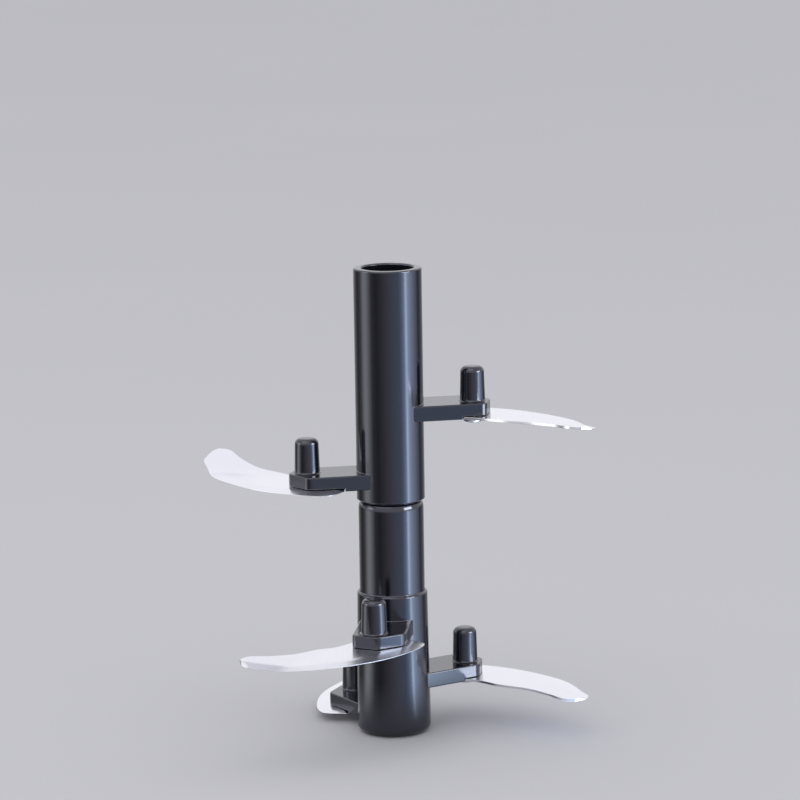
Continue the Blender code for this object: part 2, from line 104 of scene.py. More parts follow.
class Signal:
    """A shader value. Arithmetic on it adds Math nodes to its recipe."""

    def __init__(self, recipe: Recipe, socket: bpy.types.NodeSocket) -> None:
        """Wraps an output socket of a recipe's node."""
        self.recipe = recipe
        self.socket = socket

    def _math(self, operation: str, first: Any, second: Any, clamp: bool = False) -> Signal:
        """Adds a Math node.

        Args:
            operation: The node's operation.
            first: Its first value or link.
            second: Its second value or link.
            clamp: Whether the result stays between 0 and 1.

        Returns:
            The node's result.
        """
        settings = {"operation": operation, "use_clamp": clamp}
        return self.recipe.node("ShaderNodeMath", settings, {0: first, 1: second})

    def __add__(self, other: Any) -> Signal:
        """This plus other."""
        return self._math("ADD", self, other)

    def __radd__(self, other: Any) -> Signal:
        """Other plus this."""
        return self._math("ADD", other, self)

    def __sub__(self, other: Any) -> Signal:
        """This minus other."""
        return self._math("SUBTRACT", self, other)

    def __rsub__(self, other: Any) -> Signal:
        """Other minus this."""
        return self._math("SUBTRACT", other, self)

    def __mul__(self, other: Any) -> Signal:
        """This times other."""
        return self._math("MULTIPLY", self, other)

    def __rmul__(self, other: Any) -> Signal:
        """Other times this."""
        return self._math("MULTIPLY", other, self)

    def clipped(self, gain: float = 1.0) -> Signal:
        """This times a gain, kept between 0 and 1."""
        return self._math("MULTIPLY", self, gain, clamp=True)


class Recipe:
    """A material's node tree while it is written."""

    bevel_samples: int = 6
    rim_gain: float = 3.0

    def __init__(self, name: str) -> None:
        """Starts a material with a plain Principled shader."""
        self.material = bpy.data.materials.new(name)
        self.material.use_nodes = True
        self.tree = self.material.node_tree
        self.shader = self.tree.nodes["Principled BSDF"]

    def node(self, kind: str, settings: dict[str, Any], sockets: dict[Any, Any], output: Any = 0) -> Signal:
        """Adds a node, sets it up, then fills its sockets.

        Args:
            kind: The node's type.
            settings: Its settings, with a ramp's stops as position and colour pairs.
            sockets: Its input sockets by name or number, each a value or a signal.
            output: The output socket that is wanted, by name or number.

        Returns:
            That output.
        """
        made = self.tree.nodes.new(kind)
        for key, value in settings.items():
            if key == "stops":
                self._set_stops(made.color_ramp, value)
            else:
                setattr(made, key, value)
        for key, value in sockets.items():
            self.feed(made.inputs[key], value)
        return Signal(self, made.outputs[output])

    @staticmethod
    def _set_stops(ramp: bpy.types.ColorRamp, stops: Sequence[tuple[float, Any]]) -> None:
        """Gives a ramp its stops, as pairs of a position and a brightness or colour."""
        while len(ramp.elements) < len(stops):
            ramp.elements.new(1.0)
        for element, (position, shade) in zip(ramp.elements, stops):
            element.position = position
            element.color = (*shade, 1.0) if isinstance(shade, tuple) else (shade, shade, shade, 1.0)

    def feed(self, socket: bpy.types.NodeSocket, value: Any) -> None:
        """Links a signal to a socket, or sets a plain value on it."""
        if isinstance(value, Signal):
            self.tree.links.new(value.socket, socket)
        elif isinstance(value, tuple) and socket.type == "RGBA":
            socket.default_value = (*value, 1.0)
        else:
            socket.default_value = value

    def mix(self, share: Signal, first: Any, second: Any) -> Signal:
        """Mixes two colours by a share."""
        settings = {"data_type": "RGBA", "clamp_factor": True}
        return self.node("ShaderNodeMix", settings, {0: share, 6: first, 7: second}, 2)

    def own(self) -> Signal:
        """The piece's own coordinates."""
        return self.node("ShaderNodeTexCoord", {}, {}, "Object")

    def place(self, stretch: Point3 = (1.0, 1.0, 1.0)) -> Signal:
        """The piece's own coordinates, stretched along each axis."""
        return self.node("ShaderNodeVectorMath", {"operation": "MULTIPLY"}, {0: self.own(), 1: stretch})

    def noise(self, where: Signal, scale: float, detail: float = 2.0, rough: float = 0.5) -> Signal:
        """Soft noise of a scale per metre."""
        sockets = {"Vector": where, "Scale": scale, "Detail": detail, "Roughness": rough}
        return self.node("ShaderNodeTexNoise", {}, sockets)

    def band(self, signal: Signal, low: float, high: float) -> Signal:
        """Stretches the part of a signal between two levels over 0 to 1."""
        return self.node("ShaderNodeValToRGB", {"stops": [(low, 0.0), (high, 1.0)]}, {0: signal})

    def edges(self, radius: float) -> tuple[Signal, Signal]:
        """Rounds the normals near edges.

        Args:
            radius: How far from an edge the rounding reaches.

        Returns:
            The rounded normal, and a mask that is bright along the edges.
        """
        soft = self.node("ShaderNodeBevel", {"samples": self.bevel_samples}, {"Radius": radius})
        true = self.node("ShaderNodeNewGeometry", {}, {}, "Normal")
        facing = self.node("ShaderNodeVectorMath", {"operation": "DOT_PRODUCT"}, {0: soft, 1: true}, "Value")
        return soft, (1 - facing).clipped(self.rim_gain)

    def bump(self, height: Signal, depth: float, strength: float, normal: Signal | None = None) -> Signal:
        """A fine relief.

        Args:
            height: The relief's pattern.
            depth: How deep it is.
            strength: How strongly it shows.
            normal: The normal that it starts from.

        Returns:
            The changed normal.
        """
        sockets: dict[Any, Any] = {"Height": height, "Distance": depth, "Strength": strength}
        if normal is not None:
            sockets["Normal"] = normal
        return self.node("ShaderNodeBump", {}, sockets)

    def finish(self, **sockets: Any) -> bpy.types.Material:
        """Fills the shader's sockets, named with underscores for spaces, and returns the material."""
        for key, value in sockets.items():
            self.feed(self.shader.inputs[key.replace("_", " ")], value)
        return self.material


@dataclass(frozen=True)
class GlossPlastic:
    """Gloss black injection moulding: a faint flow ripple, hazed patches, and a pale painted highlight along
    its edges, broken into patches.
    """

    name: str = "gloss_black_plastic"
    colour: Colour = (0.006, 0.006, 0.010)
    # The colour of the painted highlight along the edges.
    edge_highlight_and_grind_depth: Colour = (0.34, 0.34, 0.40)
    tint: Colour = (0.86, 0.88, 1.0)
    roughness: float = 0.12
    haze: float = 0.05
    edge_radius: float = 0.28 * MM
    index: float = 1.75
    ripple_scale: float = 260.0
    ripple_depth: float = 0.04 * MM
    patch_scale: float = 55.0
    rub_scale: float = 1900.0
    rub_stretch: Point3 = (1.0, 1.0, 0.12)
    edge_highlight_patch_scale: float = 420.0
    edge_highlight_least: float = 0.45

    def make(self) -> bpy.types.Material:
        """Writes the material."""
        recipe = Recipe(self.name)
        where = recipe.place()
        ripple = recipe.noise(where, self.ripple_scale)
        patches = recipe.band(recipe.noise(where, self.patch_scale, 5.0, 0.6), 0.42, 0.72)
        rubs = recipe.noise(recipe.place(self.rub_stretch), self.rub_scale, 3.0, 0.7)
        rubs = recipe.band(rubs, 0.6, 0.78)
        soft, rim = recipe.edges(self.edge_radius)
        spots = recipe.band(recipe.noise(where, self.edge_highlight_patch_scale, 3.0), 0.38, 0.66)
        # A painted highlight along the edges, in patches, with a little more roughness where it lies.
        painted_edge_highlight = rim * (self.edge_highlight_least + (1 - self.edge_highlight_least) * spots)
        return recipe.finish(
            Base_Color=recipe.mix(painted_edge_highlight, self.colour, self.edge_highlight_and_grind_depth),
            Roughness=self.roughness + patches * self.haze + rubs * 0.06 + painted_edge_highlight * 0.12,
            Normal=recipe.bump(ripple, self.ripple_depth, 0.12, soft),
            Specular_Tint=self.tint,
            IOR=self.index,
        )


@dataclass(frozen=True)
class MattPlastic:
    """Fine grained matt moulding, with a random cloudy tone and a painted pale highlight along its edges."""

    name: str
    colour: Colour
    shade: Colour
    roughness: float = 0.42
    sheen_through: float = 0.0
    sheen_radius: Point3 = (0.0012, 0.0011, 0.0009)
    grain_scale: float = 2600.0
    cloud_scale: float = 130.0
    edge_radius: float = 0.25 * MM

    def make(self) -> bpy.types.Material:
        """Writes the material."""
        recipe = Recipe(self.name)
        where = recipe.place()
        grain = recipe.noise(where, self.grain_scale)
        cloud = recipe.noise(where, self.cloud_scale, 4.0)
        soft, rim = recipe.edges(self.edge_radius)
        # Random cloudy tone, plus a painted highlight that turns the edges toward the paler colour.
        return recipe.finish(
            Base_Color=recipe.mix((cloud * 0.8 + rim * 0.4).clipped(), self.shade, self.colour),
            Roughness=self.roughness + cloud * 0.14 - rim * 0.1,
            Normal=recipe.bump(grain, 0.03 * MM, 0.25, soft),
            Subsurface_Weight=self.sheen_through,
            Subsurface_Radius=self.sheen_radius,
        )


@dataclass(frozen=True)
class RingRubber:
    """Black rubber with a fine moulded grain and a dusty bloom."""

    name: str = "ring_rubber"
    colour: Colour = (0.018, 0.018, 0.018)
    bloom: Colour = (0.05, 0.05, 0.052)
    dust_scale: float = 700.0
    grain_scale: float = 4200.0

    def make(self) -> bpy.types.Material:
        """Writes the material."""
        recipe = Recipe(self.name)
        where = recipe.place()
        dust = recipe.band(recipe.noise(where, self.dust_scale, 4.0), 0.4, 0.75)
        grain = recipe.noise(where, self.grain_scale)
        return recipe.finish(
            Base_Color=recipe.mix(dust, self.colour, self.bloom),
            Roughness=0.62 + dust * 0.2,
            Normal=recipe.bump(grain, 0.04 * MM, 0.35),
        )


@dataclass(frozen=True)
class PolishedSheet:
    """Polished stainless sheet with a fine grain along the blade."""

    name: str = "blade_steel"
    colour: Colour = (0.88, 0.88, 0.93)
    stain: Colour = (0.79, 0.79, 0.86)
    roughness: float = 0.17
    grain_turn: float = -58.0
    grain_scale: Point3 = (40.0, 2600.0, 40.0)
    cloud_scale: float = 90.0
    edge_radius: float = 0.12 * MM

    def make(self) -> bpy.types.Material:
        """Writes the material."""
        recipe = Recipe(self.name)
        turn = (0.0, 0.0, math.radians(-self.grain_turn))
        sockets = {"Vector": recipe.own(), "Rotation": turn, "Scale": self.grain_scale}
        along = recipe.node("ShaderNodeMapping", {"vector_type": "POINT"}, sockets)
        grain = recipe.noise(along, 1.0, 4.0, 0.65)
        cloud = recipe.noise(recipe.place(), self.cloud_scale, 3.0)
        soft, rim = recipe.edges(self.edge_radius)
        return recipe.finish(
            Base_Color=recipe.mix(cloud * 0.6 + grain * 0.3, self.colour, self.stain),
            Metallic=1.0,
            Roughness=self.roughness + grain * 0.12 + rim * 0.1,
            Normal=recipe.bump(grain, 0.01 * MM, 0.16, soft),
        )


@dataclass(frozen=True)
class GroundSteel:
    """The ground band along the cutting edge, with strokes across it."""

    name: str = "ground_steel"
    colour: Colour = (0.86, 0.86, 0.88)
    shade: Colour = (0.62, 0.60, 0.64)
    stroke_scale: float = 2600.0
    stroke_stretch: Point3 = (1.0, 1.0, 0.1)
    cloud_scale: float = 240.0

    def make(self) -> bpy.types.Material:
        """Writes the material."""
        recipe = Recipe(self.name)
        strokes = recipe.noise(recipe.place(self.stroke_stretch), self.stroke_scale, 2.0, 0.7)
        cloud = recipe.noise(recipe.place(), self.cloud_scale, 3.0)
        return recipe.finish(
            Base_Color=recipe.mix(strokes * 0.7 + cloud * 0.3, self.colour, self.shade),
            Metallic=1.0,
            Roughness=0.38 + strokes * 0.14,
            Normal=recipe.bump(strokes, 0.02 * MM, 0.3),
        )


@dataclass(frozen=True)
class BrightFixing:
    """Bright turned steel of the screws and pins."""

    name: str = "fixing_steel"
    colour: Colour = (0.74, 0.74, 0.76)
    grime: Colour = (0.32, 0.31, 0.31)
    turning_scale: float = 900.0
    speck_scale: float = 1500.0
    edge_radius: float = 0.15 * MM

    def make(self) -> bpy.types.Material:
        """Writes the material."""
        recipe = Recipe(self.name)
        where = recipe.place()
        rings = {"wave_type": "RINGS", "rings_direction": "Z"}
        sockets = {"Vector": where, "Scale": self.turning_scale, "Distortion": 0.6}
        turning = recipe.node("ShaderNodeTexWave", rings, sockets)
        specks = recipe.band(recipe.noise(where, self.speck_scale, 3.0), 0.58, 0.74)
        soft, rim = recipe.edges(self.edge_radius)
        return recipe.finish(
            Base_Color=recipe.mix(specks * 0.4, self.colour, self.grime),
            Metallic=1.0,
            Roughness=0.12 + turning * 0.08 + specks * 0.2 + rim * 0.05,
            Normal=recipe.bump(turning, 0.01 * MM, 0.12, soft),
        )


@dataclass(frozen=True)
class PaleFloor:
    """The studio floor: pale, even, and just uneven enough not to be flat."""

    name: str = "pale_floor"
    colour: Colour = (0.52, 0.52, 0.54)
    shade: Colour = (0.50, 0.50, 0.52)
    cloud_scale: float = 3.0

    def make(self) -> bpy.types.Material:
        """Writes the material."""
        recipe = Recipe(self.name)
        cloud = recipe.noise(recipe.place(), self.cloud_scale, 3.0)
        return recipe.finish(
            Base_Color=recipe.mix(cloud, self.colour, self.shade),
            Roughness=0.9,
            Specular_IOR_Level=0.0,
        )


@dataclass(frozen=True)
class GlowCard:
    """The card round the foot that only shows in gloss: each direction has its own brightness."""

    name: str = "glow_card"
    level: float = 11.5
    fade_from: float = 25.0 * MM
    fade_to: float = 65.0 * MM
    stops: tuple[tuple[float, Any], ...] = (
        (-180.0, 0.088),
        (-150.0, 0.04),
        (-122.0, 0.008),
        (-105.0, 0.03),
        (-92.0, 0.13),
        (-82.0, 0.16),
        (-71.0, 0.10),
        (-58.0, 0.02),
        (-40.0, 0.008),
        (-3.0, (0.04, 0.036, 0.04)),
        (20.0, (0.048, 0.056, 0.068)),
        (38.0, (0.052, 0.064, 0.088)),
        (49.0, (0.10, 0.13, 0.18)),
        (57.0, (0.18, 0.23, 0.31)),
        (59.5, (0.42, 0.50, 0.62)),
        (63.0, (0.42, 0.50, 0.62)),
        (65.5, (0.27, 0.33, 0.40)),
        (74.0, (0.18, 0.22, 0.27)),
        (96.0, (0.088, 0.096, 0.116)),
        (118.0, (0.012, 0.012, 0.016)),
        (145.0, (0.032, 0.032, 0.036)),
        (180.0, 0.088),
    )

    def make(self) -> bpy.types.Material:
        """Writes the material, with its stops placed in degrees to the right of the camera's side."""
        recipe = Recipe(self.name)
        own = recipe.own()
        turn = recipe.node("ShaderNodeTexGradient", {"gradient_type": "RADIAL"}, {"Vector": own}, "Fac")
        stops = [(angle / 360.0 + 0.5, shade) for angle, shade in self.stops]
        glow = recipe.node("ShaderNodeValToRGB", {"stops": stops}, {0: turn})
        reach = recipe.node("ShaderNodeVectorMath", {"operation": "LENGTH"}, {0: own}, "Value")
        return recipe.finish(
            Base_Color=(0.0, 0.0, 0.0),
            Specular_IOR_Level=0.0,
            Emission_Color=glow,
            Emission_Strength=self.level,
            Alpha=recipe.band(reach, self.fade_from, self.fade_to),
        )


class Finishes:
    """Every finish of the rotor, each written once."""

    def __init__(self) -> None:
        """Writes the materials."""
        self.plastic = GlossPlastic().make()
        self.socket = MattPlastic("drive_socket_plastic", (0.06, 0.06, 0.066), (0.035, 0.035, 0.04)).make()
        self.bush = MattPlastic("bush_acetal", (0.78, 0.77, 0.73), (0.66, 0.65, 0.6), 0.38, 0.15).make()
        self.rubber = RingRubber().make()
        self.sheet = PolishedSheet().make()
        self.ground = GroundSteel().make()
        # The blade's rim faces are dark: partly the duller sheared steel, partly painted shade along the
        # blade's edges.
        self.rim = GroundSteel("sheared_rim_and_painted_shade", (0.36, 0.35, 0.36), (0.22, 0.21, 0.22)).make()
        self.fixing = BrightFixing().make()


class Shaper:
    """Mesh tools that the sub-assemblies share."""

    @classmethod
    def mesh(cls, name: str, shape: bmesh.types.BMesh) -> bpy.types.Mesh:
        """Turns a bmesh into a smooth mesh.

        Args:
            name: The mesh's name.
            shape: The bmesh, which is freed.

        Returns:
            The mesh, with its faces out.
        """
        bmesh.ops.recalc_face_normals(shape, faces=shape.faces)
        mesh = bpy.data.meshes.new(name)
        shape.to_mesh(mesh)
        shape.free()
        cls.smooth(mesh)
        return mesh

    @staticmethod
    def smooth(mesh: bpy.types.Mesh) -> None:
        """Shades a mesh smooth between its sharp edges."""
        mesh.shade_smooth()
        mesh.set_sharp_from_angle(angle=math.radians(SHARP_EDGE))

    @staticmethod
    def arc(
        centre: Point2, radius: float, start: float, end: float, steps: int, stretch: float = 1.0
    ) -> list[Point2]:
        """Lays points on an arc.

        Args:
            centre: Its centre.
            radius: Its radius.
            start: The angle in degrees that it starts at.
            end: The angle in degrees that it ends at.
            steps: How many steps it has.
            stretch: How much taller it is than it is wide.

        Returns:
            The points, with both ends.
        """
        angles = [math.radians(start + (end - start) * k / steps) for k in range(steps + 1)]
        rise = radius * stretch
        return [(centre[0] + radius * math.cos(a), centre[1] + rise * math.sin(a)) for a in angles]

    @staticmethod
    def rounded(outline: Sequence[Point2], corners: Iterable[int], reach: float, steps: int) -> list[Point2]:
        """Rounds some corners of an outline.

        Args:
            outline: The outline.
            corners: The numbers of the corners.
            reach: How far either side of a corner its curve starts.
            steps: How many steps each curve has.

        Returns:
            The new outline.
        """
        chosen = set(corners)
        path: list[Point2] = []
        for k, point in enumerate(outline):
            if k not in chosen:
                path.append(point)
                continue
            corner = Vector(point)
            before = (Vector(outline[k - 1]) - corner).normalized() * reach
            after = (Vector(outline[(k + 1) % len(outline)]) - corner).normalized() * reach
            for step in range(steps + 1):
                t = step / steps
                moved = corner + before * (1 - t) ** 2 + after * t**2
                path.append((moved.x, moved.y))
        return path

    @classmethod
    def turned(
        cls, name: str, profile: Sequence[Point2], segments: int, ring: bool = False
    ) -> bpy.types.Mesh:
        """Turns a profile about the Z axis.

        Args:
            name: The mesh's name.
            profile: Radius and height of each point.
            segments: How many steps go round.
            ring: Whether the profile closes on itself.

        Returns:
            The turned mesh.
        """
        shape = bmesh.new()
        loops: list[list[bmesh.types.BMVert]] = []
        for radius, height in profile:
            count = 1 if radius < TINY else segments
            turns = [2 * math.pi * k / segments for k in range(count)]
            points = [(radius * math.cos(t), radius * math.sin(t), height) for t in turns]
            loops.append([shape.verts.new(point) for point in points])
        pairs = list(zip(loops, loops[1:]))
        if ring:
            pairs.append((loops[-1], loops[0]))
        for low, high in pairs:
            for k in range(segments):
                below = [low[j % len(low)] for j in (k, k + 1)]
                above = [high[j % len(high)] for j in (k + 1, k)]
                shape.faces.new(list(dict.fromkeys(below + above)))
        return cls.mesh(name, shape)

    @classmethod
    def prism(
        cls, name: str, outline: Sequence[Point2], low: float, high: float, edge: float = 0.0
    ) -> bpy.types.Mesh:
        """Draws an outline up between two heights.

        Args:
            name: The mesh's name.
            outline: The outline in the XY plane.
            low: The lower height.
            high: The upper height.
            edge: How far its long edges are rounded.

        Returns:
            The drawn mesh.
        """
        shape = bmesh.new()
        floor = shape.faces.new([shape.verts.new((x, y, low)) for x, y in outline])
        drawn = bmesh.ops.extrude_face_region(shape, geom=[floor])
        risen = [v for v in drawn["geom"] if isinstance(v, bmesh.types.BMVert)]
        bmesh.ops.translate(shape, verts=risen, vec=(0.0, 0.0, high - low))
        if edge > 0:
            flat = [e for e in shape.edges if abs(e.verts[0].co.z - e.verts[1].co.z) < TINY]
            bmesh.ops.bevel(shape, geom=flat, offset=edge, segments=3, affect="EDGES", profile=0.5)
        return cls.mesh(name, shape)

    @staticmethod
    def hexagon(flats: float) -> list[Point2]:
        """The corners of a hexagon with two flats square to Y."""
        radius = flats / math.sqrt(3)
        return [(radius * math.cos(math.pi * k / 3), radius * math.sin(math.pi * k / 3)) for k in range(6)]

    @staticmethod
    def piece(name: str, mesh: bpy.types.Mesh, place: Matrix | None = None) -> bpy.types.Object:
        """Links an object for a mesh, set in its place."""
        thing = bpy.data.objects.new(name, mesh)
        bpy.context.scene.collection.objects.link(thing)
        thing.matrix_world = place or Matrix.Identity(4)
        return thing

    @classmethod
    def combine(cls, thing: bpy.types.Object, how: Cut, helpers: Sequence[bpy.types.Object]) -> None:
        """Joins helpers to a thing, or cuts them from it, and removes them.

        Args:
            thing: The object that is changed.
            how: What is done with the helpers.
            helpers: The objects that are joined or cut away.
        """
        for helper in helpers:
            step = thing.modifiers.new(how.name, "BOOLEAN")
            step.operation = how.value
            step.object = helper
            step.solver = "EXACT"
        cls.bake(thing)
        cls.smooth(thing.data)
        for helper in helpers:
            bpy.data.objects.remove(helper)

    @staticmethod
    def bake(thing: bpy.types.Object) -> None:
        """Writes an object's modifiers into its mesh."""
        bpy.context.view_layer.update()
        view = thing.evaluated_get(bpy.context.evaluated_depsgraph_get())
        mesh = bpy.data.meshes.new_from_object(view)
        thing.modifiers.clear()
        thing.data = mesh

    @classmethod
    def flatten(cls, thing: bpy.types.Object) -> None:
        """Weights the normals by the faces' areas, so that flats stay flat beside their rounded edges."""
        step = thing.modifiers.new("FLATS", "WEIGHTED_NORMAL")
        step.keep_sharp = True
        cls.bake(thing)

    @staticmethod
    def paint(thing: bpy.types.Object, *finishes: bpy.types.Material) -> None:
        """Puts finishes in an object's slots in their order."""
        thing.data.materials.clear()
        for finish in finishes:
            thing.data.materials.append(finish)

    @staticmethod
    def stand_in(thing: bpy.types.Object, node: str, stage: Stage, slot: Slot) -> bpy.types.Object:
        """Puts a piece in its node's place.

        Args:
            thing: The piece.
            node: The node that it stands for.
            stage: The stage that it rides on.
            slot: The record's slot of its finish; not used.

        Returns:
            The piece.
        """
        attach(thing, stage.value)
        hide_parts(node)
        return thing


@dataclass(frozen=True)
class Fits:
    """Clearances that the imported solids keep."""

    stage: float = 0.3 * MM
    slide: float = 0.25 * MM
    seat: float = 0.2 * MM
    shank: float = 0.25 * MM


@dataclass(frozen=True)
class Heights:
    """Heights above the foot that both stages share."""

    total: float = 118.2 * MM
    stage: float = 59.0 * MM
    shoulder: float = 36.0 * MM


@dataclass(frozen=True)
class Spigot:
    """The collar and hexagon that join the stages, and the section of the ring round the collar."""

    collar_length: float = 4.6 * MM
    length: float = 16.0 * MM
    flats: float = 9.4 * MM
    ring_section: float = 1.5 * MM


@dataclass(frozen=True)
class Arm:
    """One arm with its boss: where it points, how high its seat is, and how its blade is set."""

    name: str
    stage: Stage
    azimuth: float
    seat: float
    blade_yaw: float
    blade_bend: float
    height: float = 3.0 * MM
    pocket: float = 0.9 * MM
    lead: float = 5.9 * MM
    trail: float = 7.4 * MM
    root: float = 2.5 * MM
    nose: tuple[Point2, ...] = ((1.9, -5.6), (5.0, 0.5), (1.0, 7.6))
    nose_round: float = 1.3 * MM
    edge: float = 0.3 * MM
    boss_reach: float = 20.8 * MM
    boss_behind: float = 2.5 * MM
    boss_radius: float = 3.2 * MM
    boss_top: float = 3.0 * MM
    boss_height: float = 8.75 * MM
    boss_dome: float = 1.4 * MM
    boss_fillet: float = 0.45 * MM
    boss_segments: int = 64

    def frame(self) -> Matrix:
        """The arm's place: x outwards, y ahead in the turning sense, z up from the seat."""
        return Matrix.Translation((0.0, 0.0, self.seat)) @ Matrix.Rotation(math.radians(self.azimuth), 4, "Z")

    def blade_frame(self) -> Matrix:
        """The blade's place: its origin at the screw hole, on its upper face."""
        screw = Matrix.Translation((self.boss_reach, -self.boss_behind, -Fits().seat))
        return self.frame() @ screw @ Matrix.Rotation(math.radians(self.blade_yaw), 4, "Z")

    def tongue(self) -> bpy.types.Object:
        """Builds the flat tongue, from inside the tube to its turned nose."""
        turn = Matrix.Rotation(math.radians(self.blade_yaw), 2)
        hub = Vector((self.boss_reach, -self.boss_behind))
        nose = [tuple(hub + turn @ Vector(point) * MM) for point in self.nose]
        outline = [(self.root, -self.trail), *nose, (self.root, self.lead)]
        outline = Shaper.rounded(outline, (1, 2, 3), self.nose_round, 8)
        mesh = Shaper.prism("tongue", outline, -self.pocket, self.height, self.edge)
        return Shaper.piece(f"tongue_{self.name}", mesh, self.frame())

    def boss(self) -> bpy.types.Object:
        """Builds the round boss with its filleted root and domed top."""
        top = self.height + self.boss_height
        fillet = self.boss_fillet
        root = Shaper.arc((self.boss_radius + fillet, self.height + fillet), fillet, 270, 180, 5)
        dome = Shaper.arc((self.boss_top - self.boss_dome, top - self.boss_dome), self.boss_dome, 0, 90, 10)
        sunk = self.height - 2 * fillet
        profile = [(0.0, sunk), (self.boss_radius + fillet, sunk), *root, *dome, (0.0, top)]
        place = self.frame() @ Matrix.Translation((self.boss_reach, -self.boss_behind, 0.0))
        return Shaper.piece(f"boss_{self.name}", Shaper.turned("boss", profile, self.boss_segments), place)


UPPER_AZIMUTH = 13.4
ARMS = (
    Arm("upper_right", Stage.UPPER, UPPER_AZIMUTH, 80.85 * MM, 2.4, 5.4),
    Arm("upper_left", Stage.UPPER, UPPER_AZIMUTH + 180.0, 63.95 * MM, -3.4, 27.7),
    Arm("lower_front", Stage.LOWER, 264.3, 26.80 * MM, 6.7, 9.9),
    Arm("lower_right", Stage.LOWER, 36.0, 11.75 * MM, -18.1, -3.6),
    Arm("lower_rear", Stage.LOWER, 125.8, 2.60 * MM, 1.0, 9.2),
)


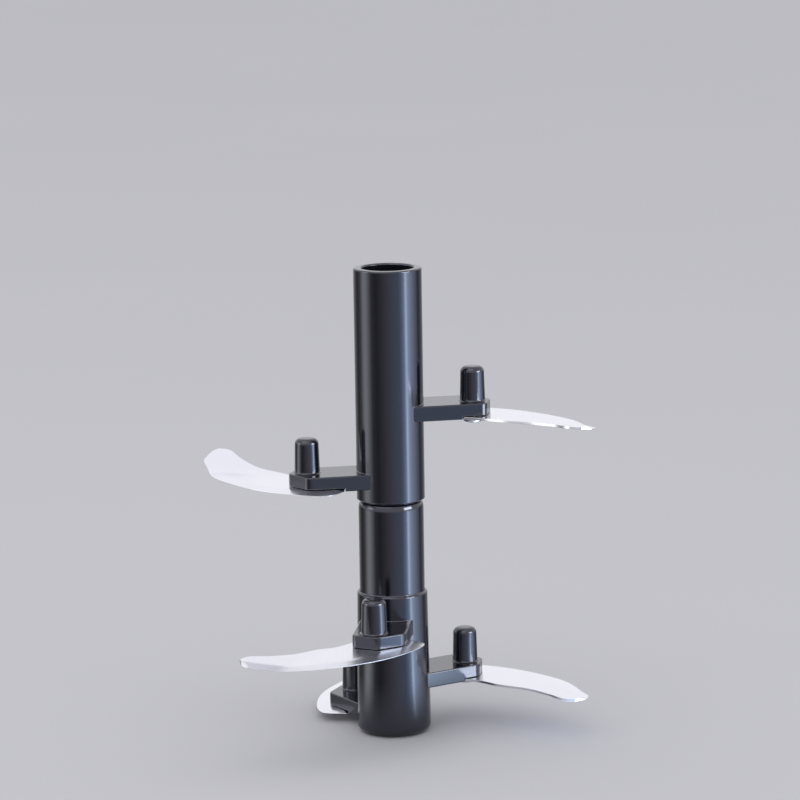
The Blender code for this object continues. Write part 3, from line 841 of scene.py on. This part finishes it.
@dataclass
class Blade:
    """One curved blade: cut from sheet, ground along its outer edge, bent, and drilled."""

    arm: Arm
    thickness: float = 0.6 * MM
    edge_land: float = 0.1 * MM
    grind: float = 3.2 * MM
    grind_share: float = 0.45
    cutting: tuple[Point2, ...] = (
        (-7.8, 8.6), (-2.4, 12.4), (6.4, 7.5), (14.6, -1.4),
        (20.9, -14.7), (21.9, -26.4), (22.2, -30.3), (20.4, -32.5),
    )
    tang: tuple[Point2, ...] = ((-10.8, -1.6), (-4.0, -4.2))
    notch: tuple[Point2, ...] = ((-4.0, -4.2), (-3.9, -5.2))
    back: tuple[Point2, ...] = (
        (-3.9, -5.2), (0.6, -9.2), (4.0, -14.0), (9.5, -19.9), (12.9, -25.8), (14.9, -30.7), (17.6, -33.0),
    )
    steps: int = 120
    tang_steps: int = 18
    notch_steps: int = 4
    across: int = 12
    grind_steps: int = 4
    fold_direction: float = -122.9
    fold_start: float = 6.6 * MM
    fold_radius: float = 12.0 * MM
    locator: Point2 = (-6.9 * MM, 0.8 * MM)
    locator_radius: float = 0.9 * MM
    locator_gap: float = 0.15 * MM
    locator_depth: float = 2.0 * MM
    screw_radius: float = 1.3 * MM
    screw_grip: float = 6.0 * MM
    hole_segments: int = 48
    mitre_least: float = 0.5
    ground_index: int = 1
    rim_index: int = 2

    @staticmethod
    def _curve(points: Sequence[Point2], steps: int) -> list[Vector]:
        """Draws a smooth curve through a few points.

        Args:
            points: The points, in millimetres.
            steps: How many steps the curve has.

        Returns:
            Its points in metres, with both ends.
        """
        knots = [Vector(p) * MM for p in points]
        knots = [2 * knots[0] - knots[1], *knots, 2 * knots[-1] - knots[-2]]
        path = []
        for k in range(steps + 1):
            place = k / steps * (len(points) - 1)
            span = min(int(place), len(points) - 2)
            t = place - span
            a, b, c, d = knots[span : span + 4]
            bend = (2 * a - 5 * b + 4 * c - d) * t**2 + (3 * b - a - 3 * c + d) * t**3
            path.append(0.5 * (2 * b + (c - a) * t + bend))
        return path

    def sides(self) -> tuple[list[Vector], list[Vector]]:
        """The flat pattern as its cutting edge and its back, with as many points on each."""
        edge = self._curve(self.cutting, self.steps)
        back = self._curve(self.tang, self.tang_steps)[:-1] + self._curve(self.notch, self.notch_steps)[:-1]
        back += self._curve(self.back, self.steps - self.tang_steps - self.notch_steps)
        return edge, back

    def outline(self, margin: float) -> list[Point2]:
        """Moves the flat pattern outwards.

        Args:
            margin: How far it is moved.

        Returns:
            The moved outline, counter-clockwise.
        """
        edge, back = self.sides()
        loop = back + edge[::-1]
        moved = []
        for k, point in enumerate(loop):
            before = (point - loop[k - 1]).normalized()
            after = (loop[(k + 1) % len(loop)] - point).normalized()
            normal = Vector((before.y + after.y, -before.x - after.x)).normalized()
            place = point + normal * margin / max(self.mitre_least, normal.dot(Vector((before.y, -before.x))))
            moved.append((place.x, place.y))
        return moved

    def _folded(self, point: Vector, depth: float) -> Vector:
        """Lays a flat point on the bent blade.

        Args:
            point: The point on the flat pattern.
            depth: How far it lies below the upper face.

        Returns:
            Its place: past the fold's start the sheet turns on an arc, then runs on.
        """
        bend = math.radians(self.arm.blade_bend)
        turn_way = math.radians(self.fold_direction)
        along = Vector((math.cos(turn_way), math.sin(turn_way)))
        beyond = point.dot(along) - self.fold_start
        if beyond <= 0:
            return Vector((point.x, point.y, -depth))
        side, radius = math.copysign(1.0, bend), self.fold_radius
        turn = min(beyond / radius, abs(bend))
        straight = beyond - turn * radius
        run = radius * math.sin(turn) + straight * math.cos(turn) + side * depth * math.sin(turn)
        rise = side * (radius * (1 - math.cos(turn)) + straight * math.sin(turn)) - depth * math.cos(turn)
        moved = point - along * beyond + along * run
        return Vector((moved.x, moved.y, rise))

    def _shares(self, width: float) -> list[float]:
        """Shares of the width at which the sheet's rows lie, the ground band's first."""
        ground = min(self.grind / width, self.grind_share)
        band = [ground * k / self.grind_steps for k in range(self.grind_steps)]
        return band + [ground + (1 - ground) * k / self.across for k in range(self.across + 1)]

    def _mesh(self) -> bpy.types.Mesh:
        """Builds the sheet between its two sides, with a slot each for its ground band and its rims."""
        edge, back = self.sides()
        shape = bmesh.new()
        sheets = []
        for lower in (False, True):
            rows = []
            for outer, inner in zip(edge, back):
                row = []
                for k, share in enumerate(self._shares((inner - outer).length)):
                    edge_highlight_and_grind_depth = max(0.0, 1 - k / self.grind_steps) * (self.thickness - self.edge_land)
                    depth = self.thickness if lower else edge_highlight_and_grind_depth
                    row.append(shape.verts.new(self._folded(outer.lerp(inner, share), depth)))
                rows.append(row)
            sheets.append(rows)
        for number, rows in enumerate(sheets):
            for first, second in zip(rows, rows[1:]):
                for k in range(len(first) - 1):
                    face = shape.faces.new((first[k], first[k + 1], second[k + 1], second[k]))
                    face.material_index = self.ground_index if number == 0 and k < self.grind_steps else 0
        rims = [[[r[0] for r in rows], [r[-1] for r in rows], rows[0], rows[-1]] for rows in sheets]
        for top_rim, low_rim in zip(*rims):
            for k in range(len(top_rim) - 1):
                side = shape.faces.new((top_rim[k], top_rim[k + 1], low_rim[k + 1], low_rim[k]))
                side.material_index = self.rim_index
        return Shaper.mesh(f"blade_sheet_{self.arm.name}", shape)

    def holes(self, low: float, depths: Point2) -> list[bpy.types.Object]:
        """Builds the cutters of the screw's hole and the pin's.

        Args:
            low: The height that both start at.
            depths: How high each of them goes.

        Returns:
            The two cutters.
        """
        radii = (self.screw_radius + Fits().shank, self.locator_radius + self.locator_gap)
        cutters = []
        for (x, y), radius, high in zip(((0.0, 0.0), self.locator), radii, depths):
            profile = [(0.0, low), (radius, low), (radius, high), (0.0, high)]
            mesh = Shaper.turned("hole", profile, self.hole_segments)
            place = self.arm.blade_frame() @ Matrix.Translation((x, y, 0.0))
            cutters.append(Shaper.piece("hole", mesh, place))
        return cutters

    def clearance(self) -> list[bpy.types.Object]:
        """Builds the cutters that clear the blade, its screw and its pin from the arm."""
        fits, arm = Fits(), self.arm
        mesh = Shaper.prism("pocket", self.outline(fits.slide), -arm.pocket - MM, fits.seat)
        screw_top = arm.height + self.screw_grip + fits.shank
        pin_top = self.locator_depth + fits.seat + self.locator_gap
        return [Shaper.piece("pocket", mesh, arm.blade_frame()), *self.holes(-MM, (screw_top, pin_top))]

    def build(self, finishes: Finishes) -> bpy.types.Object:
        """Builds and dresses the blade in its node's place."""
        name = self.arm.name
        blade = Shaper.piece(f"dressed_blade_{name}", self._mesh(), self.arm.blade_frame())
        Shaper.paint(blade, finishes.sheet, finishes.ground, finishes.rim)
        Shaper.combine(blade, Cut.REMOVE, self.holes(-2 * MM, (MM, MM)))
        return Shaper.stand_in(blade, f"blade_{name}", self.arm.stage, Slot.BLADE)


@dataclass
class Carrier:
    """What the two plastic carriers share: a turned body with arms and bosses, less its bores."""

    finishes: Finishes
    node: str
    stage: Stage
    segments: int = 160
    chamfer: float = 0.3 * MM

    def profile(self) -> list[Point2]:
        """The turned body's profile, from the axis below to the axis above."""
        raise NotImplementedError

    def bores(self) -> list[bpy.types.Object]:
        """The cutters of the body's bores."""
        raise NotImplementedError

    def additions(self) -> list[bpy.types.Object]:
        """What is joined on besides the arms."""
        return []

    def _bore(self, radius: float, low: float, high: float, mouth: Mouth = Mouth.NONE) -> bpy.types.Object:
        """Builds the cutter of a round bore.

        Args:
            radius: Its radius.
            low: Its lower height.
            high: Its upper height.
            mouth: The end that is chamfered and cut through.

        Returns:
            The cutter.
        """
        wide, past = radius + self.chamfer, MM
        profile = [(0.0, low), (radius, low), (radius, high), (0.0, high)]
        if mouth is Mouth.ABOVE:
            profile = [(0.0, low), (radius, low), (radius, high - self.chamfer), (wide, high)]
            profile += [(wide, high + past), (0.0, high + past)]
        elif mouth is Mouth.BELOW:
            profile = [(0.0, low - past), (wide, low - past), (wide, low)]
            profile += [(radius, low + self.chamfer), (radius, high), (0.0, high)]
        return Shaper.piece("bore", Shaper.turned("bore", profile, self.segments))

    def build(self) -> bpy.types.Object:
        """Builds and dresses the carrier in its node's place."""
        body = Shaper.piece(f"dressed_{self.node}", Shaper.turned(self.node, self.profile(), self.segments))
        arms = [arm for arm in ARMS if arm.stage is self.stage]
        Shaper.combine(body, Cut.JOIN, [arm.tongue() for arm in arms])
        Shaper.combine(body, Cut.JOIN, [arm.boss() for arm in arms] + self.additions())
        cleared = [cutter for arm in arms for cutter in Blade(arm).clearance()]
        Shaper.combine(body, Cut.REMOVE, self.bores() + cleared)
        Shaper.flatten(body)
        Shaper.paint(body, self.finishes.plastic)
        return Shaper.stand_in(body, self.node, self.stage, Slot.PLASTIC)


@dataclass
class UpperCarrier(Carrier):
    """The upper tube with the drive bore at its top and the spigot's socket below."""

    radius: float = 8.6 * MM
    foot_chamfer: float = 0.5 * MM
    rim_round: float = 0.35 * MM
    bore_radius: float = 6.55 * MM
    bore_depth: float = 19.5 * MM
    hollow_radius: float = 5.2 * MM
    hollow_wall: float = 2.4 * MM
    ring_outside: float = 6.55 * MM

    def profile(self) -> list[Point2]:
        """The upper tube's profile."""
        heights = Heights()
        foot = heights.stage + Fits().stage
        path = [(0.0, foot), (self.radius - self.foot_chamfer, foot), (self.radius, foot + self.foot_chamfer)]
        rim = (self.radius - self.rim_round, heights.total - self.rim_round)
        path += Shaper.arc(rim, self.rim_round, 0, 90, 6)
        return path + [(0.0, heights.total)]

    def bores(self) -> list[bpy.types.Object]:
        """The drive bore, the hollow under it, and the socket and groove over the spigot."""
        heights, fits, spigot = Heights(), Fits(), Spigot()
        foot = heights.stage + fits.stage
        floor = heights.total - self.bore_depth
        socket_top = heights.stage + spigot.length + fits.stage
        groove_top = heights.stage + spigot.collar_length + fits.slide
        outline = Shaper.hexagon(spigot.flats + 2 * fits.slide)
        return [
            self._bore(self.bore_radius, floor, heights.total, Mouth.ABOVE),
            self._bore(self.hollow_radius, socket_top + self.hollow_wall, floor + MM),
            self._bore(self.ring_outside + fits.slide, foot, groove_top, Mouth.BELOW),
            Shaper.piece("socket", Shaper.prism("socket", outline, foot - MM, socket_top)),
        ]


@dataclass
class LowerCarrier(Carrier):
    """The lower body and neck, with the spigot on top and the pin's bore in the foot."""

    neck_radius: float = 8.25 * MM
    top_radius: float = 8.9 * MM
    foot_radius: float = 9.3 * MM
    neck_round: float = 0.6 * MM
    neck_crown: float = 2.1 * MM
    shoulder_round: float = 0.6 * MM
    shoulder_slope: float = 0.9 * MM
    foot_round: float = 1.4 * MM
    collar_radius: float = 5.6 * MM
    groove_depth: float = 0.65 * MM
    spigot_root: float = 0.8 * MM
    spigot_edge: float = 0.6 * MM
    bush_bore: float = 5.5 * MM
    bush_top: float = 13.0 * MM
    pin_hollow: float = 4.2 * MM
    pin_hollow_top: float = 34.0 * MM

    def profile(self) -> list[Point2]:
        """The lower body's profile, up to the collar's top."""
        heights = Heights()
        top, shoulder, corner = heights.stage, heights.shoulder, self.shoulder_round
        path = [(0.0, 0.0), (self.foot_radius - self.foot_round, 0.0)]
        path += Shaper.arc((self.foot_radius - self.foot_round, self.foot_round), self.foot_round, -85, 0, 10)
        path += Shaper.arc((self.top_radius - corner, shoulder - corner), corner, 0, 80, 6)
        path += [(self.neck_radius, shoulder + self.shoulder_slope - corner / 2)]
        crown = (self.neck_radius - self.neck_round, top - self.neck_crown)
        path += Shaper.arc(crown, self.neck_round, 0, 80, 12, self.neck_crown / self.neck_round)
        spigot, collar = Spigot(), self.collar_radius
        groove = collar - self.groove_depth
        half = spigot.ring_section / 2 + Fits().seat
        middle, head = top + spigot.collar_length / 2, top + spigot.collar_length
        path += [(collar, top), (collar, middle - half), (groove, middle - half)]
        return path + [(groove, middle + half), (collar, middle + half), (collar, head), (0.0, head)]

    def additions(self) -> list[bpy.types.Object]:
        """The hexagonal spigot."""
        top, spigot = Heights().stage, Spigot()
        low = top + spigot.collar_length - self.spigot_root
        outline = Shaper.hexagon(spigot.flats)
        mesh = Shaper.prism("spigot", outline, low, top + spigot.length, self.spigot_edge)
        return [Shaper.piece("spigot", mesh)]

    def bores(self) -> list[bpy.types.Object]:
        """The bush's bore and the hollow above it."""
        return [
            self._bore(self.bush_bore, 0.0, self.bush_top, Mouth.BELOW),
            self._bore(self.pin_hollow, self.bush_top - MM, self.pin_hollow_top),
        ]


@dataclass
class Inserts:
    """The drive socket in the top bore, the bush in the foot, and the friction ring on the collar."""

    finishes: Finishes
    socket_radius: float = 6.3 * MM
    socket_length: float = 14.0 * MM
    socket_flats: float = 8.0 * MM
    socket_floor: float = 98.9 * MM
    bush_outer: float = 5.25 * MM
    bush_inner: float = 3.2 * MM
    bush_length: float = 12.0 * MM
    bush_recess: float = 0.8 * MM
    ring_middle: float = 5.8 * MM
    ring_height: float = 61.3 * MM
    ring_steps: int = 24
    chamfer: float = 0.3 * MM
    segments: int = 96

    def build(self) -> list[bpy.types.Object]:
        """Builds and dresses the three inserts."""
        floor, radius, cut = self.socket_floor, self.socket_radius, self.chamfer
        top = floor + self.socket_length
        profile = [(0.0, floor), (radius, floor), (radius, top - cut), (radius - cut, top), (0.0, top)]
        mesh = Shaper.turned("drive_socket", profile, self.segments)
        socket = Shaper.piece("dressed_drive_socket", mesh)
        key = Shaper.prism("socket_key", Shaper.hexagon(self.socket_flats), floor - MM, top + MM)
        Shaper.combine(socket, Cut.REMOVE, [Shaper.piece("socket_key", key)])
        Shaper.paint(socket, self.finishes.socket)
        Shaper.stand_in(socket, "drive_socket", Stage.UPPER, Slot.SOCKET)

        foot, head = self.bush_recess, self.bush_recess + self.bush_length
        inner, outer = self.bush_inner, self.bush_outer
        profile = [(inner + cut, foot), (outer - cut, foot), (outer, foot + cut)]
        profile += [(outer, head), (inner, head), (inner, foot + cut)]
        mesh = Shaper.turned("pivot_bush", profile, self.segments, ring=True)
        bush = Shaper.piece("dressed_pivot_bush", mesh)
        Shaper.paint(bush, self.finishes.bush)
        Shaper.stand_in(bush, "pivot_bush", Stage.LOWER, Slot.BUSH)

        middle = (self.ring_middle, self.ring_height)
        section = Shaper.arc(middle, Spigot().ring_section / 2, 0, 360, self.ring_steps)[:-1]
        mesh = Shaper.turned("friction_ring", section, self.segments, ring=True)
        ring = Shaper.piece("dressed_friction_ring", mesh)
        Shaper.paint(ring, self.finishes.rubber)
        Shaper.stand_in(ring, "friction_ring", Stage.LOWER, Slot.RUBBER)
        return [socket, bush, ring]


@dataclass
class Fixings:
    """The pan head screw and the locating pin of one blade."""

    finishes: Finishes
    arm: Arm
    head_radius: float = 2.65 * MM
    head_height: float = 1.6 * MM
    head_gap: float = 0.1 * MM
    head_chamfer: float = 0.1 * MM
    crown_inset: float = 0.9 * MM
    crown_rise: float = 0.75 * MM
    crown_radius: float = 0.8 * MM
    cross_width: float = 0.7 * MM
    cross_span: float = 2.8 * MM
    cross_depth: float = 0.7 * MM
    screw_segments: int = 64
    pin_segments: int = 40

    def _fit(self, thing: bpy.types.Object, node: str) -> bpy.types.Object:
        """Dresses a fixing and puts it in its node's place."""
        Shaper.paint(thing, self.finishes.fixing)
        return Shaper.stand_in(thing, node, self.arm.stage, Slot.FIXING)

    def _cross(self) -> list[Point2]:
        """The outline of the driver's cross."""
        half, span = self.cross_width / 2, self.cross_span / 2
        quarter = [(span, -half), (span, half), (half, half)]
        path: list[Point2] = []
        for turn in range(4):
            c, s = math.cos(math.pi / 2 * turn), math.sin(math.pi / 2 * turn)
            path += [(x * c - y * s, x * s + y * c) for x, y in quarter]
        return path

    def build(self) -> list[bpy.types.Object]:
        """Builds and dresses the screw and the pin."""
        blade, fits = Blade(self.arm), Fits()
        shank, pin_radius = blade.screw_radius, blade.locator_radius
        seat = -blade.thickness - self.head_gap
        low = seat - self.head_height
        top = fits.seat + self.arm.height + blade.screw_grip - fits.shank
        radius, edge = self.head_radius, self.head_chamfer
        middle = (radius - self.crown_inset, low + self.crown_rise)
        crown = Shaper.arc(middle, self.crown_radius, -70, 0, 8)
        profile = [(0.0, low), *crown, (radius, seat - edge), (radius - edge, seat)]
        profile += [(shank, seat), (shank, top - shank), (0.0, top)]
        place = self.arm.blade_frame()
        mesh = Shaper.turned("screw", profile, self.screw_segments)
        screw = Shaper.piece(f"dressed_screw_{self.arm.name}", mesh, place)
        recess = Shaper.prism("driver_cross", self._cross(), low - MM, low + self.cross_depth)
        Shaper.combine(screw, Cut.REMOVE, [Shaper.piece("driver_cross", recess, place)])
        cut = pin_radius / 4
        head = fits.seat + blade.locator_depth
        low = -blade.thickness
        profile = [(0.0, low), (pin_radius - cut, low), (pin_radius, low + cut)]
        profile += [(pin_radius, head - cut), (pin_radius - cut, head), (0.0, head)]
        spot = place @ Matrix.Translation((*blade.locator, 0.0))
        mesh = Shaper.turned("locating_pin", profile, self.pin_segments)
        pin = Shaper.piece(f"dressed_pin_{self.arm.name}", mesh, spot)
        return [self._fit(screw, f"screw_{self.arm.name}"), self._fit(pin, f"locating_pin_{self.arm.name}")]


@dataclass(frozen=True)
class Lamp:
    """A soft lamp, which stands at a direction in degrees from the camera's side to the right."""

    name: str
    direction: float
    height: float
    distance: float
    size: Point2
    brightness: float
    colour: Colour = (1.0, 1.0, 1.0)
    gloss_only: bool = False
    aim_height: float = 60.0 * MM

    def build(self) -> None:
        """Sets the lamp, facing the rotor. Its face is white at a brightness of 1."""
        width, tall = self.size
        data = bpy.data.lights.new(self.name, "AREA")
        data.shape = "RECTANGLE"
        data.size, data.size_y = width, tall
        data.energy = self.brightness * math.pi * width * tall
        data.color = self.colour
        lamp = bpy.data.objects.new(self.name, data)
        bpy.context.scene.collection.objects.link(lamp)
        turn = math.radians(self.direction)
        lamp.location = (self.distance * math.sin(turn), -self.distance * math.cos(turn), self.height)
        aim = Vector((0.0, 0.0, min(self.height, self.aim_height))) - lamp.location
        lamp.rotation_euler = aim.to_track_quat("-Z", "Y").to_euler()
        lamp.visible_camera = False
        lamp.visible_diffuse = not self.gloss_only


# The two keys only show in gloss, as reflector cards do.
LAMPS = (
    Lamp("soft_top", -30.0, 1.2, 0.7, (1.2, 1.2), 0.8),
    Lamp("right_key", 63.0, 0.215, 0.62, (0.34, 0.20), 12.0, (0.85, 0.92, 1.0), True),
    Lamp("left_key", -80.0, 0.215, 0.62, (0.26, 0.20), 3.0, (0.96, 0.96, 1.0), True),
)


@dataclass
class Studio:
    """Floor, glow card, world and camera, and the setting up of the lamps."""

    focal: float = 169.65
    sensor: float = 36.0
    near: float = 0.01
    far: float = 100.0
    eye: Point3 = (2.66 * MM, -926.7 * MM, 256.3 * MM)
    pitch: float = 10.5
    roll: float = 0.87
    floor_size: float = 12.0
    floor_drop: float = 0.5 * MM
    card_radius: float = 4.0
    card_segments: int = 128
    world_colour: Colour = (0.97, 0.97, 1.0)
    world_level: float = 1.0

    def floor(self) -> None:
        """Lays the floor under the rotor's foot."""
        shape = bmesh.new()
        half = self.floor_size / 2
        corners = ((-half, -half), (half, -half), (half, half), (-half, half))
        shape.faces.new([shape.verts.new((x, y, -self.floor_drop)) for x, y in corners])
        floor = Shaper.piece("studio_floor", Shaper.mesh("studio_floor", shape))
        Shaper.paint(floor, PaleFloor().make())

    def card(self) -> None:
        """Lays the glow card on the floor, with its zero towards the camera."""
        shape = bmesh.new()
        bmesh.ops.create_circle(shape, cap_ends=True, segments=self.card_segments, radius=self.card_radius)
        place = Matrix.Translation((0.0, 0.0, -self.floor_drop / 2)) @ Matrix.Rotation(-math.pi / 2, 4, "Z")
        card = Shaper.piece("glow_card", Shaper.mesh("glow_card", shape), place)
        Shaper.paint(card, GlowCard().make())
        card.visible_camera = False
        card.visible_diffuse = False
        card.visible_shadow = False

    def world(self) -> None:
        """Fills the room with an even pale light."""
        world = bpy.data.worlds.new("studio_world")
        world.use_nodes = True
        background = world.node_tree.nodes["Background"]
        background.inputs["Color"].default_value = (*self.world_colour, 1.0)
        background.inputs["Strength"].default_value = self.world_level
        bpy.context.scene.world = world

    def camera(self) -> None:
        """Sets the camera at the photograph's angle."""
        data = bpy.data.cameras.new("photo_camera")
        data.lens = self.focal
        data.sensor_width = self.sensor
        data.clip_start = self.near
        data.clip_end = self.far
        camera = bpy.data.objects.new("photo_camera", data)
        bpy.context.scene.collection.objects.link(camera)
        tilt = Matrix.Rotation(math.radians(90 - self.pitch), 4, "X")
        roll = Matrix.Rotation(math.radians(-self.roll), 4, "Z")
        camera.matrix_world = Matrix.Translation(self.eye) @ tilt @ roll
        bpy.context.scene.camera = camera

    def build(self) -> None:
        """Sets up the whole studio."""
        self.camera()
        self.floor()
        self.card()
        self.world()
        for lamp in LAMPS:
            lamp.build()
        bpy.context.scene.view_settings.view_transform = "Standard"


def report(things: Iterable[bpy.types.Object]) -> None:
    """Logs each piece with its count of faces."""
    for thing in things:
        LOG.info("%s: %d faces", thing.name, len(thing.data.polygons))


def corners(box: Any) -> list[list[float]]:
    """A box as plain lists of numbers."""
    return [[float(value) for value in corner] for corner in box]


def main() -> None:
    """Builds the studio and the dressed rotor."""
    logging.basicConfig(level=logging.INFO, format="%(name)s: %(message)s")
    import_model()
    Studio().build()
    finishes = Finishes()
    report([UpperCarrier(finishes, "upper_carrier", Stage.UPPER).build()])
    report([LowerCarrier(finishes, "lower_carrier", Stage.LOWER).build()])
    report(Inserts(finishes).build())
    for arm in ARMS:
        report([Blade(arm).build(finishes)])
        report(Fixings(finishes, arm).build())


if __name__ == "__main__":
    main()
